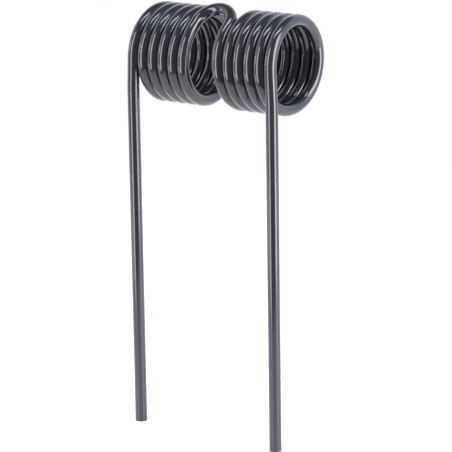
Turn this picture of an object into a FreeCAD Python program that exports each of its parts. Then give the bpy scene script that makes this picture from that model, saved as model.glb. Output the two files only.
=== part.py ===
import FreeCAD, Part

import math
import os

import Sketcher

# A baler pick-up tine, bent from one round spring-steel wire: two straight legs,
# two close-wound coils on one line, and a bow between the coils that hooks over
# the bolt that holds the tine to its bar.
#
# Millimetres. +X runs along the line of the coils, +Z points up the legs, and the
# legs hang at the front of the coils, towards -Y. The origin is the middle of the
# bow's round end, on the line of the bolt.
#
# The left half is modelled from the leg's tip to the crown of the bow, and the
# other half is its mirror image.

SIZES = [
    ("wire_dia", 5.5, "diameter of the round wire"),
    ("coil_bore", 34.1, "inside diameter of a coil"),
    ("turn_gap", 0.1, "daylight between two turns"),
    ("turn_count", 5, "full turns in each coil, counted from its leg"),
    ("bow_angle", 49.5, "degrees that each coil is wound on past its full turns"),
    ("bow_straight", 2.5, "straight wire between a coil and the bow's round end"),
    ("bolt_dia", 12, "shank of the bolt that the bow hooks over"),
    ("bolt_play", 0.4, "room between the bow and the bolt, both sides together"),
    ("leg_length", 170.2, "from the height of the coils' axis down to a leg's tip"),
    ("leg_run_out", 14, "top of a leg, which still has the slope of the coil's turns"),
    ("tip_round", 0.6, "radius round the sheared end of a leg"),
]

# What follows from those sizes, as expressions of the sheet.
PITCH = "(Sizes.wire_dia + Sizes.turn_gap)"
TURNS = "(Sizes.turn_count + Sizes.bow_angle / 360)"
COIL_RADIUS = "((Sizes.coil_bore + Sizes.wire_dia) / 2)"
BOW_RADIUS = "((Sizes.bolt_dia + Sizes.bolt_play + Sizes.wire_dia) / 2)"
COIL_LENGTH = f"({PITCH} * {TURNS})"
SLOPE = f"({PITCH} / (2 * pi * {COIL_RADIUS}))"

# The coils' axis lies behind and below the bolt by these two distances.
AXIS_BEHIND = f"({COIL_RADIUS} * cos(Sizes.bow_angle) - Sizes.bow_straight * sin(Sizes.bow_angle))"
AXIS_BELOW = f"({COIL_RADIUS} * sin(Sizes.bow_angle) + Sizes.bow_straight * cos(Sizes.bow_angle))"

# The volume of the finished solid may differ from the wire's section times its
# length by this share, which covers the rounded tips and the slope of the turns.
VOLUME_SHARE = 0.003


def make_sheet(doc):
    """Write one row for each driving size: its name, its value and what it is."""
    sheet = doc.addObject("Spreadsheet::Sheet", "Sizes")
    for row, (name, value, meaning) in enumerate(SIZES, start=1):
        sheet.set(f"A{row}", name)
        sheet.set(f"B{row}", str(value))
        sheet.set(f"C{row}", meaning)
        sheet.setAlias(f"B{row}", name)
    return sheet


def origin_plane(body, role):
    """Return one of the body's own origin planes."""
    return next(item for item in body.Origin.OriginFeatures if item.Role == role)


def wire_section(body, name, to_middle, to_front):
    """Draw the wire's round section in a sketch on the body's XY plane.

    The section's centre lies to_middle to the left of the sketch's origin and
    to_front towards the front of it, or level with it where to_front is None.
    """
    sketch = body.newObject("Sketcher::SketchObject", name)
    sketch.AttachmentSupport = [(origin_plane(body, "XY_Plane"), "")]
    sketch.MapMode = "FlatFace"
    start = FreeCAD.Vector(-20, 0 if to_front is None else -20, 0)
    up = FreeCAD.Vector(0, 0, 1)
    sketch.addGeometry(Part.Circle(start, up, 2), False)
    sketch.addConstraint(Sketcher.Constraint("Diameter", 0, 4))
    sketch.renameConstraint(0, "wire")
    sketch.addConstraint(Sketcher.Constraint("DistanceX", 0, 3, -1, 1, 20))
    sketch.renameConstraint(1, "to_middle")
    sketch.setExpression("Constraints.wire", "Sizes.wire_dia")
    sketch.setExpression("Constraints.to_middle", to_middle)
    if to_front is None:
        sketch.addConstraint(Sketcher.Constraint("PointOnObject", 0, 3, -1))
    else:
        sketch.addConstraint(Sketcher.Constraint("DistanceY", 0, 3, -1, 1, 20))
        sketch.renameConstraint(2, "to_front")
        sketch.setExpression("Constraints.to_front", to_front)
    return sketch


def lowest_rim(shape):
    """Name the round edge at the bottom of the shape, the rim of the leg's tip."""
    bottom = shape.BoundBox.ZMin
    for number, edge in enumerate(shape.Edges, start=1):
        if edge.BoundBox.ZMax < bottom + 0.01:
            return f"Edge{number}"
    raise RuntimeError("the leg has no rim at its tip")


def make_tine(doc):
    """Build the wire's left half, feature by feature, and mirror it."""
    body = doc.addObject("PartDesign::Body", "spring_tine")
    body.Label = "spring_tine"

    # The section where the coil begins, at its front and level with its axis, and
    # the one below it where the leg turns plumb. In both sketches the horizontal
    # axis runs along the coils' axis or straight below it.
    outermost = f"{BOW_RADIUS} + {COIL_LENGTH}"
    coil_section = wire_section(body, "coil_section", outermost, COIL_RADIUS)
    coil_section.setExpression("AttachmentOffset.Base.y", AXIS_BEHIND)
    coil_section.setExpression("AttachmentOffset.Base.z", f"-{AXIS_BELOW}")
    plumb_line = f"{outermost} + {SLOPE} * Sizes.leg_run_out"
    leg_section = wire_section(body, "leg_section", plumb_line, COIL_RADIUS)
    leg_section.setExpression("AttachmentOffset.Base.y", AXIS_BEHIND)
    leg_section.setExpression("AttachmentOffset.Base.z", f"-{AXIS_BELOW} - Sizes.leg_run_out")

    leg = body.newObject("PartDesign::Pad", "leg")
    leg.Profile = leg_section
    leg.Reversed = True
    leg.setExpression("Length", "Sizes.leg_length - Sizes.leg_run_out")
    doc.recompute()

    # The sheared end of the leg, with its sharp rim taken off.
    tip = body.newObject("PartDesign::Fillet", "tip")
    tip.Base = (leg, [lowest_rim(leg.Shape)])
    tip.setExpression("Radius", "Sizes.tip_round")
    doc.recompute()

    # The top of the leg leans outwards like the coil's turns, which keeps it clear
    # of the second turn.
    run_out = body.newObject("PartDesign::Pad", "run_out")
    run_out.Profile = coil_section
    run_out.UseCustomVector = True
    run_out.AlongSketchNormal = True
    run_out.Direction = FreeCAD.Vector(-0.05, 0, -1)
    run_out.setExpression("Direction.x", f"-{SLOPE}")
    run_out.setExpression("Length", "Sizes.leg_run_out")
    doc.recompute()

    # The coil rises at the front, passes over the top and winds in to the middle.
    coil = body.newObject("PartDesign::AdditiveHelix", "coil")
    coil.Profile = coil_section
    coil.ReferenceAxis = (coil_section, ["H_Axis"])
    coil.Mode = "pitch-turns-angle"
    coil.LeftHanded = True
    coil.setExpression("Pitch", PITCH)
    coil.setExpression("Turns", TURNS)
    doc.recompute()

    # The section where the bow's round end begins. Its plane passes through the
    # bolt's line, which is the sketch's own vertical axis.
    bow_section = wire_section(body, "bow_section", BOW_RADIUS, None)
    lean = FreeCAD.Rotation(FreeCAD.Vector(-1, 0, 0), 45)
    bow_section.AttachmentOffset = FreeCAD.Placement(FreeCAD.Vector(0, 0, 0), lean)
    bow_section.setExpression("AttachmentOffset.Rotation.Angle", "Sizes.bow_angle")

    bow_side = body.newObject("PartDesign::Pad", "bow_side")
    bow_side.Profile = bow_section
    bow_side.Reversed = True
    bow_side.setExpression("Length", "Sizes.bow_straight")
    doc.recompute()

    bow_end = body.newObject("PartDesign::Revolution", "bow_end")
    bow_end.Profile = bow_section
    bow_end.ReferenceAxis = (bow_section, ["V_Axis"])
    bow_end.Angle = 90
    doc.recompute()

    other_half = body.newObject("PartDesign::Mirrored", "other_half")
    other_half.TransformMode = "Whole shape"
    other_half.MirrorPlane = (origin_plane(body, "YZ_Plane"), [""])
    body.Tip = other_half
    doc.recompute()
    return body


def check_document(doc):
    """Stop if any object of the document failed to build."""
    for item in doc.Objects:
        if "Invalid" in item.State or "Error" in item.State:
            raise RuntimeError(f"{item.Name} did not build: {item.State}")


def check_tine(body, sheet):
    """Stop unless the tine is one sound solid that holds as much steel as its wire."""
    shape = body.Shape
    if shape.isNull() or not shape.isValid():
        raise RuntimeError("the tine's shape isn't sound")
    if len(shape.Solids) != 1:
        raise RuntimeError(f"the tine came out as {len(shape.Solids)} solids")
    turns = sheet.turn_count + sheet.bow_angle / 360
    around = math.pi * (sheet.coil_bore + sheet.wire_dia)
    coil_length = turns * math.hypot(around, sheet.wire_dia + sheet.turn_gap)
    bow_radius = (sheet.bolt_dia + sheet.bolt_play + sheet.wire_dia) / 2
    bow_length = 2 * sheet.bow_straight + math.pi * bow_radius
    wire_length = 2 * (sheet.leg_length + coil_length) + bow_length
    wire_volume = math.pi * sheet.wire_dia ** 2 / 4 * wire_length
    if abs(shape.Volume / wire_volume - 1) > VOLUME_SHARE:
        raise RuntimeError(f"volume {shape.Volume:.0f}, wire {wire_volume:.0f}")
    print(f"wire {wire_length:.1f} mm long, volume {shape.Volume:.0f} of {wire_volume:.0f} mm3")


doc = FreeCAD.newDocument("spring_tine")
sheet = make_sheet(doc)
doc.recompute()
tine = make_tine(doc)
check_document(doc)
check_tine(tine, sheet)

os.makedirs("parts", exist_ok=True)
tine.Shape.exportStep(f"parts/{tine.Label}.step")
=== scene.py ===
import math

import bpy
from mathutils import Matrix, Vector


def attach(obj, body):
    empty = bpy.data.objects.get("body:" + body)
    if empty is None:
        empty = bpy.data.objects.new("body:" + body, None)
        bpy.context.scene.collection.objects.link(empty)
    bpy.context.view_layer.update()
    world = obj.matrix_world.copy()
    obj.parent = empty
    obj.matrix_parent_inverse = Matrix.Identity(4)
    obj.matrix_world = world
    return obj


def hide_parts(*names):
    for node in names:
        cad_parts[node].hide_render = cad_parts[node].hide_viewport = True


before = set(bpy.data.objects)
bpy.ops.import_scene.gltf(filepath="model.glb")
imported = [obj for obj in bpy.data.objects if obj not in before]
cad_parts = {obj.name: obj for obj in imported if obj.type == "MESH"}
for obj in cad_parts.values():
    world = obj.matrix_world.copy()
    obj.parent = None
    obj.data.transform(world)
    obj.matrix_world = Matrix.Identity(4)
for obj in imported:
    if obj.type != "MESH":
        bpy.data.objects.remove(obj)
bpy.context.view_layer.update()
MM = 0.001

# THE WIRE'S LINE
# The real tine is one length of drawn spring-steel wire, wound cold on two mandrels. Its line runs
# up the left leg from the tip, five turns and 49.5 degrees round the coil, and into the bow over the
# bolt. The right half is its mirror image. The origin is the middle of the bow's round end.
WIRE = 5.5 * MM
COIL_RADIUS = (34.1 * MM + WIRE) / 2
PITCH = WIRE + 0.1 * MM
OVERWIND = math.radians(49.5)
TURNS = 5 + OVERWIND / math.tau
BOW_RADIUS = (12.4 * MM + WIRE) / 2
BOW_STRAIGHT = 2.5 * MM
LEG_LENGTH = 170.2 * MM
RUN_OUT = 14 * MM
COIL_START = BOW_RADIUS + PITCH * TURNS
SLOPE = PITCH / (math.tau * COIL_RADIUS)
AXIS_Y = COIL_RADIUS * math.cos(OVERWIND) - BOW_STRAIGHT * math.sin(OVERWIND)
AXIS_Z = -COIL_RADIUS * math.sin(OVERWIND) - BOW_STRAIGHT * math.cos(OVERWIND)
POINTS_PER_TURN = 72
POINT_STEP = math.tau * COIL_RADIUS / POINTS_PER_TURN


def deselect_all():
    """Clear the selection, so that an operator acts only on what is selected next."""
    bpy.ops.object.select_all(action="DESELECT")


def apply_modifier(piece, kind, **settings):
    """Give a piece one modifier with its settings, and apply it."""
    modifier = piece.modifiers.new(kind, kind)
    for name, value in settings.items():
        setattr(modifier, name, value)
    bpy.ops.object.modifier_apply(modifier=modifier.name)


def pick_line_end(piece, number):
    """In edit mode, leave one end point of the line selected."""
    bpy.ops.mesh.select_all(action="DESELECT")
    bpy.ops.object.mode_set(mode="OBJECT")
    piece.data.vertices[number].select = True
    bpy.ops.object.mode_set(mode="EDIT")


def draw_straight(run, direction):
    """Draw the line on from its selected end, in even steps along a straight run."""
    steps = max(1, round(run / POINT_STEP))
    for _ in range(steps):
        move = Vector(direction) * (run / steps)
        bpy.ops.mesh.extrude_vertices_move(TRANSFORM_OT_translate={"value": move})


deselect_all()
bpy.ops.mesh.primitive_circle_add(vertices=3, radius=WIRE / 2, location=(-COIL_START, AXIS_Y, AXIS_Z))
wire = bpy.context.object
wire.name = "spring_wire"
bpy.ops.object.mode_set(mode="EDIT")
bpy.ops.mesh.merge(type="CENTER")
bpy.ops.transform.translate(value=(0, -COIL_RADIUS, 0))
bpy.ops.object.mode_set(mode="OBJECT")

# The coil: the point winds up the front, over the top and in towards the middle.
winding_points = round(POINTS_PER_TURN * TURNS)
apply_modifier(
    wire, "SCREW", axis="X", angle=-math.tau * TURNS, screw_offset=PITCH * TURNS,
    steps=winding_points, render_steps=winding_points,
)
deselect_all()
wire.select_set(True)
bpy.ops.object.transform_apply(location=True, rotation=True, scale=True)

# The bow, from the coil's inner end, and then the leg, from its outer end.
up_the_bow = (0, math.sin(OVERWIND), math.cos(OVERWIND))
across_the_bow = (0, -math.cos(OVERWIND), math.sin(OVERWIND))
bpy.ops.object.mode_set(mode="EDIT")
pick_line_end(wire, len(wire.data.vertices) - 1)
draw_straight(BOW_STRAIGHT, up_the_bow)
bpy.ops.mesh.spin(steps=10, angle=math.pi / 2, center=(0, 0, 0), axis=across_the_bow)
pick_line_end(wire, 0)
draw_straight(RUN_OUT, (-SLOPE, 0, -1))
draw_straight(LEG_LENGTH - RUN_OUT, (0, 0, -1))
bpy.ops.object.mode_set(mode="OBJECT")
apply_modifier(wire, "MIRROR", use_axis=(True, False, False), merge_threshold=0.05 * MM)

# THE WIRE
# Round wire, cropped square at both ends, with the sharp rims taken off. The line becomes a smooth
# curve, which eases the small change of direction where a leg runs into its coil, and the round
# section is swept along it.
TIP_ROUND = 0.6 * MM
bpy.ops.object.convert(target="CURVE")
line = wire.data
bpy.ops.object.mode_set(mode="EDIT")
bpy.ops.curve.select_all(action="SELECT")
bpy.ops.curve.spline_type_set(type="NURBS")
bpy.ops.object.mode_set(mode="OBJECT")
for spline in line.splines:
    spline.order_u = 4
    spline.use_endpoint_u = True
    spline.resolution_u = 1
line.dimensions = "3D"
line.bevel_depth = WIRE / 2
line.bevel_resolution = 20
line.use_fill_caps = True
bpy.ops.object.convert(target="MESH")
bpy.ops.object.mode_set(mode="EDIT")
bpy.ops.mesh.select_all(action="SELECT")
bpy.ops.mesh.remove_doubles(threshold=0.005 * MM)
bpy.ops.mesh.normals_make_consistent(inside=False)
bpy.ops.mesh.select_all(action="DESELECT")
bpy.ops.object.mode_set(mode="OBJECT")
for face in wire.data.polygons:
    face.select = len(face.vertices) > 4
bpy.ops.object.mode_set(mode="EDIT")
bpy.ops.mesh.select_mode(type="FACE")
bpy.ops.mesh.bevel(offset=TIP_ROUND, segments=4, affect="EDGES")
bpy.ops.object.mode_set(mode="OBJECT")
bpy.ops.object.shade_smooth_by_angle(angle=math.radians(40))


def from_hex(colour):
    """Turn an sRGB hex colour into the linear colour that a shader takes."""
    channels = [int(colour[place:place + 2], 16) / 255 for place in (1, 3, 5)]
    linear = [c / 12.92 if c <= 0.04045 else ((c + 0.055) / 1.055) ** 2.4 for c in channels]
    return (*linear, 1)


def add_node(tree, kind, inputs, **settings):
    """Add a node with its settings, and give each input a value or an output to read."""
    made = tree.nodes.new(kind)
    for name, value in settings.items():
        setattr(made, name, value)
    for name, value in inputs.items():
        if isinstance(value, bpy.types.NodeSocket):
            tree.links.new(value, made.inputs[name])
        else:
            made.inputs[name].default_value = value
    return made


# Gloss black stoving lacquer, dipped and baked. It gives a bluish near-black under a clear skin that
# mirrors the room, with a second, softer reflection from the pigment just below the skin. A slow
# ripple (orange peel) makes the long bright lines waver and bead, the film is a little thicker and
# softer in some places than in others, and the wire's peened surface shows through as a fine grain.
PEEL_SIZE = 3 * MM
PEEL_HEIGHT = 0.016 * MM
GRAIN_SIZE = 0.4 * MM
GRAIN_HEIGHT = 0.002 * MM
FILM_SIZE = 9 * MM
LACQUER_IOR = 1.55
lacquer = bpy.data.materials.new("black_stoving_lacquer")
lacquer.use_nodes = True
tree = lacquer.node_tree
tree.nodes.clear()
place = add_node(tree, "ShaderNodeTexCoord", {}).outputs["Object"]
peel = add_node(tree, "ShaderNodeTexNoise", {"Vector": place, "Scale": 1 / PEEL_SIZE, "Detail": 1})
grain = add_node(tree, "ShaderNodeTexNoise", {"Vector": place, "Scale": 1 / GRAIN_SIZE, "Detail": 2})
film = add_node(tree, "ShaderNodeTexNoise", {"Vector": place, "Scale": 1 / FILM_SIZE, "Detail": 2})
rippled = add_node(
    tree, "ShaderNodeBump", {"Height": peel.outputs["Fac"], "Strength": 1, "Distance": PEEL_HEIGHT},
)
grained = add_node(
    tree, "ShaderNodeBump",
    {
        "Height": grain.outputs["Fac"], "Strength": 1, "Distance": GRAIN_HEIGHT,
        "Normal": rippled.outputs["Normal"],
    },
)
gloss = add_node(
    tree, "ShaderNodeMapRange",
    {"Value": film.outputs["Fac"], "From Min": 0.3, "From Max": 0.7, "To Min": 0.11, "To Max": 0.15},
)
depth = add_node(
    tree, "ShaderNodeMix",
    {"Factor": film.outputs["Fac"], "A": from_hex("#26282d"), "B": from_hex("#2d2f36")},
    data_type="RGBA",
)
shader = add_node(
    tree, "ShaderNodeBsdfPrincipled",
    {
        "Base Color": depth.outputs["Result"], "Roughness": gloss.outputs["Result"], "IOR": LACQUER_IOR,
        "Normal": grained.outputs["Normal"], "Coat Weight": 1, "Coat IOR": LACQUER_IOR,
        "Coat Roughness": 0.15, "Coat Normal": rippled.outputs["Normal"],
    },
)
add_node(tree, "ShaderNodeOutputMaterial", {"Surface": shader.outputs["BSDF"]})
wire.data.materials.clear()
wire.data.materials.append(lacquer)
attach(wire, "root")
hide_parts("spring_tine")

# THE STUDIO
# The tine stands on a round turntable of white acrylic, with upright soft boxes round it and a long
# one overhead. The room is dim on the camera's side, pale behind the tine, and a plain white backdrop
# where the camera looks at it.
CAMERA_TURN = math.radians(37.333)
TO_CAMERA = Vector((math.sin(CAMERA_TURN), -math.cos(CAMERA_TURN), 0))
TO_RIGHT = Vector((math.cos(CAMERA_TURN), math.sin(CAMERA_TURN), 0))
COILS = Vector((0, AXIS_Y, AXIS_Z))
FLOOR_Z = AXIS_Z - LEG_LENGTH
BOX_DISTANCE = 1.0


def soft_box(name, turn, bottom, top, width, glow):
    """Stand an upright soft box at an angle to the camera's side, facing the coils."""
    angle = math.radians(turn)
    away = TO_CAMERA * math.cos(angle) + TO_RIGHT * math.sin(angle)
    spot = COILS + away * BOX_DISTANCE + Vector((0, 0, (bottom + top) / 2))
    bpy.ops.object.light_add(type="AREA", location=spot)
    lamp = bpy.context.object
    lamp.name = name
    lamp.rotation_euler = away.to_track_quat("Z", "Y").to_euler()
    lamp.data.shape = "RECTANGLE"
    lamp.data.size = width
    lamp.data.size_y = top - bottom
    lamp.data.energy = glow * math.pi * width * (top - bottom)
    lamp.data.color = from_hex("#fdfcff")[:3]


# A tall box on each side of the camera, and further round, on each side, a small one for the coils
# and a low wide one for the legs.
deselect_all()
soft_box("left_box", -51.5, -0.58, 0.92, 0.40, 4.2)
soft_box("right_box", 53.5, -0.58, 0.94, 0.48, 5.7)
soft_box("right_panel", 77, -0.05, 0.42, 0.28, 1.4)
soft_box("left_strip", -94, 0.02, 0.28, 0.12, 5.5)
soft_box("left_low_panel", -84, -0.45, -0.28, 0.72, 1.1)
soft_box("right_low_panel", 93, -0.45, -0.28, 0.36, 1.4)

# The long box overhead, a little in front of the coils.
TOP_SPOT = COILS + TO_CAMERA * 0.168 + Vector((0, 0, 0.8))
TOP_WIDTH = 0.63
TOP_DEPTH = 0.13
TOP_GLOW = 6.6
bpy.ops.object.light_add(type="AREA", location=TOP_SPOT)
top_box = bpy.context.object
top_box.name = "top_box"
top_box.rotation_euler = (0, 0, CAMERA_TURN)
top_box.data.shape = "RECTANGLE"
top_box.data.size = TOP_WIDTH
top_box.data.size_y = TOP_DEPTH
top_box.data.energy = TOP_GLOW * math.pi * TOP_WIDTH * TOP_DEPTH
top_box.data.color = from_hex("#f1f4ff")[:3]

# White acrylic disc, polished, with its middle behind the tine and to the right. Its painted glow makes
# it a white ground to the camera, and in the tine's gloss the glow is a painted pool of light that grows
# dimmer towards its rim.
TABLE_RADIUS = 0.41
RIM_FADE = 0.18
TABLE_GLOW = 0.56
PAINTED_GLOW_IN_GLOSS = 0.6
TABLE_MIDDLE = Vector((0, AXIS_Y, FLOOR_Z)) - TO_CAMERA * 0.15 + TO_RIGHT * 0.08
bpy.ops.mesh.primitive_circle_add(
    vertices=180, radius=TABLE_RADIUS, fill_type="NGON", location=TABLE_MIDDLE,
)
turntable = bpy.context.object
turntable.name = "turntable"
bpy.ops.object.transform_apply(location=True, rotation=True, scale=True)
acrylic = bpy.data.materials.new("white_acrylic_painted_glow")
acrylic.use_nodes = True
tree = acrylic.node_tree
tree.nodes.clear()
place = add_node(tree, "ShaderNodeTexCoord", {}).outputs["Object"]
outwards = add_node(tree, "ShaderNodeVectorMath", {0: place, 1: TABLE_MIDDLE}, operation="DISTANCE")
# Painted light: seen in the tine's gloss, the disc glows brightest near its middle and fades to nothing
# at its rim.
painted_light_pool = add_node(
    tree, "ShaderNodeMapRange",
    {
        "Value": outwards.outputs["Value"], "From Min": TABLE_RADIUS, "From Max": TABLE_RADIUS - RIM_FADE,
        "To Max": PAINTED_GLOW_IN_GLOSS,
    },
)
rays = add_node(tree, "ShaderNodeLightPath", {})
seen = add_node(
    tree, "ShaderNodeMath",
    {0: rays.outputs["Is Glossy Ray"], 1: painted_light_pool.outputs["Result"], 2: rays.outputs["Is Camera Ray"]},
    operation="MULTIPLY_ADD",
)
glow = add_node(
    tree, "ShaderNodeMath", {0: seen.outputs["Value"], 1: TABLE_GLOW}, operation="MULTIPLY",
)
sheet = add_node(
    tree, "ShaderNodeBsdfPrincipled",
    {
        "Base Color": from_hex("#f1f1f3"), "Roughness": 0.15,
        "Emission Color": from_hex("#fafbff"), "Emission Strength": glow.outputs["Value"],
    },
)
add_node(tree, "ShaderNodeOutputMaterial", {"Surface": sheet.outputs["BSDF"]})
turntable.data.materials.append(acrylic)

# The room: grey walls on the camera's side, pale ones behind and at the sides, and a grey ceiling.
DIM_SIDE_TURN = math.radians(15)
DIM_GREY = from_hex("#6a6b74")
world = bpy.data.worlds.new("studio")
bpy.context.scene.world = world
world.use_nodes = True
tree = world.node_tree
tree.nodes.clear()
place = add_node(tree, "ShaderNodeTexCoord", {}).outputs["Generated"]
rays = add_node(tree, "ShaderNodeLightPath", {})
dim_side = TO_CAMERA * math.cos(DIM_SIDE_TURN) - TO_RIGHT * math.sin(DIM_SIDE_TURN)
towards = add_node(tree, "ShaderNodeVectorMath", {0: place, 1: dim_side}, operation="DOT_PRODUCT")
behind = add_node(
    tree, "ShaderNodeMapRange", {"Value": towards.outputs["Value"], "From Min": 0.45, "From Max": 0.25},
    interpolation_type="SMOOTHSTEP",
)
height = add_node(tree, "ShaderNodeSeparateXYZ", {"Vector": place})
overhead = add_node(
    tree, "ShaderNodeMapRange", {"Value": height.outputs["Z"], "From Min": 0.62, "From Max": 0.78},
    interpolation_type="SMOOTHSTEP",
)
walls = add_node(
    tree, "ShaderNodeMix",
    {"Factor": behind.outputs["Result"], "A": DIM_GREY, "B": from_hex("#eff2fe")},
    data_type="RGBA",
)
inside = add_node(
    tree, "ShaderNodeMix",
    {"Factor": overhead.outputs["Result"], "A": walls.outputs["Result"], "B": DIM_GREY},
    data_type="RGBA",
)
room = add_node(tree, "ShaderNodeBackground", {"Color": inside.outputs["Result"], "Strength": 1})
backdrop = add_node(tree, "ShaderNodeBackground", {"Color": (1, 1, 1, 1), "Strength": 1})
view = add_node(
    tree, "ShaderNodeMixShader",
    {0: rays.outputs["Is Camera Ray"], 1: room.outputs["Background"], 2: backdrop.outputs["Background"]},
)
add_node(tree, "ShaderNodeOutputWorld", {"Surface": view.outputs["Shader"]})

# THE CAMERA
# The photograph was taken from the right and a little above, about a metre away, with a long lens.
CAMERA_TILT = math.radians(90 - 13.710)
CAMERA_ROLL = math.radians(-0.884)
LENS = 194.48
turned = (
    Matrix.Rotation(CAMERA_TURN, 4, "Z")
    @ Matrix.Rotation(CAMERA_TILT, 4, "X")
    @ Matrix.Rotation(CAMERA_ROLL, 4, "Z")
)
set_back = Matrix.Translation((-0.826 * MM, -74.516 * MM, 1083.43 * MM))
deselect_all()
bpy.ops.object.camera_add()
camera = bpy.context.object
camera.matrix_world = Matrix.Translation(COILS) @ turned @ set_back
camera.data.sensor_width = 36
camera.data.lens = LENS
camera.data.clip_start = 0.01
camera.data.clip_end = 20
bpy.context.scene.camera = camera
bpy.context.scene.view_settings.view_transform = "Standard"
